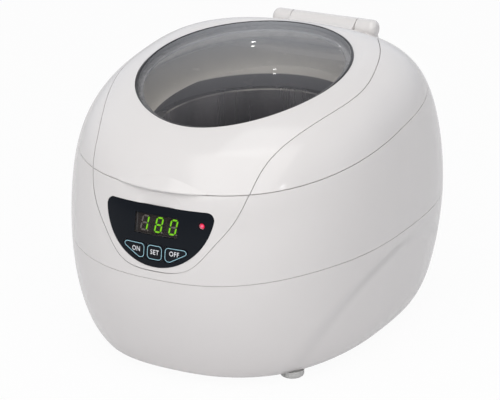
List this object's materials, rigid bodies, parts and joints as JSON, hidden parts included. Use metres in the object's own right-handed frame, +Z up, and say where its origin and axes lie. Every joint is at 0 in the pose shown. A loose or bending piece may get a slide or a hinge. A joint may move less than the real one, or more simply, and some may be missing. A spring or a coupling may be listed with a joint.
{
  "type": "contact lens cleaner device",
  "caption": "Egg-shaped ultrasonic cleaner for contact lenses: hinged lid with smoked oval window, steel tank, half-moon control panel with display and keys.",
  "frame": {"origin": "table level, under the middle of the body", "axes": "+Z up, -Y towards the user (control panel), +X to the user's right"},
  "size_m": [0.181, 0.2412, 0.1604],
  "materials": {
    "white_abs": "gloss",
    "deck_plastic": "satin",
    "liner_plastic": "satin",
    "smoked_glass": "gloss",
    "seal_rubber": "matte",
    "tank_steel": "polished",
    "black_panel": "gloss",
    "lens_smoked": "gloss",
    "key_black": "gloss",
    "board_green": "satin",
    "part_black": "matte",
    "led_red": "gloss",
    "steel": "satin",
    "horn_aluminium": "satin",
    "mass_steel": "satin",
    "ceramic": "matte",
    "electrode_brass": "satin",
    "core_steel": "matte",
    "coil_tape": "satin",
    "sink_aluminium": "matte",
    "can_sleeve": "satin",
    "fuse_glass": "gloss",
    "foot_rubber": "satin",
    "lead_insulation": "satin",
    "gasket_silicone": "matte"
  },
  "bodies": {
    "housing": {"base_shell": "white_abs", "upper_shell": "white_abs", "front_fascia": "white_abs", "control_overlay": "black_panel", "display_lens": "lens_smoked", "control_board": "board_green", "control_screws": "steel", "led_display": "part_black", "status_led": "led_red", "tact_switches": "part_black", "tank_deck": "deck_plastic", "tank": "tank_steel", "tank_gasket": "gasket_silicone", "tank_clips": "steel", "hinge_pin": "steel", "hinge_cap_left": "white_abs", "hinge_cap_right": "white_abs", "transducer_front_mass": "horn_aluminium", "piezo_rings": "ceramic", "electrode_rings": "electrode_brass", "transducer_back_mass": "mass_steel", "transducer_bolt": "steel", "main_board": "board_green", "main_board_screws": "steel", "transformer_core": "core_steel", "transformer_coil": "coil_tape", "heat_sink": "sink_aluminium", "power_transistors": "part_black", "capacitors": "can_sleeve", "fuse": "fuse_glass", "ribbon_connector": "part_black", "power_inlet": "part_black", "inlet_pins": "steel", "housing_screws": "steel", "mains_leads": "lead_insulation", "transducer_leads": "lead_insulation", "control_ribbon": "lead_insulation", "foot_front_left": "foot_rubber", "foot_front_right": "foot_rubber", "foot_rear_left": "foot_rubber", "foot_rear_right": "foot_rubber"},
    "lid": {"lid_centre": "white_abs", "lid_side_left": "white_abs", "lid_side_right": "white_abs", "lid_liner": "liner_plastic", "lid_window": "smoked_glass", "window_seal": "seal_rubber"},
    "key_on": {"key_on": "key_black"},
    "key_set": {"key_set": "key_black"},
    "key_off": {"key_off": "key_black"}
  },
  "joints": [
    {"name": "lid_hinge", "type": "hinge", "parent": "housing", "child": "lid", "pos_m": [0, 0.0788, 0.1525], "axis": [-1, 0, 0], "range_deg": [0, 110]},
    {"name": "key_on_press", "type": "slide", "parent": "housing", "child": "key_on", "axis": [0, 1, 0], "range_m": [0, 0.0005], "stiffness_N_per_m": 600},
    {"name": "key_set_press", "type": "slide", "parent": "housing", "child": "key_set", "axis": [0, 1, 0], "range_m": [0, 0.0005], "stiffness_N_per_m": 600},
    {"name": "key_off_press", "type": "slide", "parent": "housing", "child": "key_off", "axis": [0, 1, 0], "range_m": [0, 0.0005], "stiffness_N_per_m": 600}
  ]
}
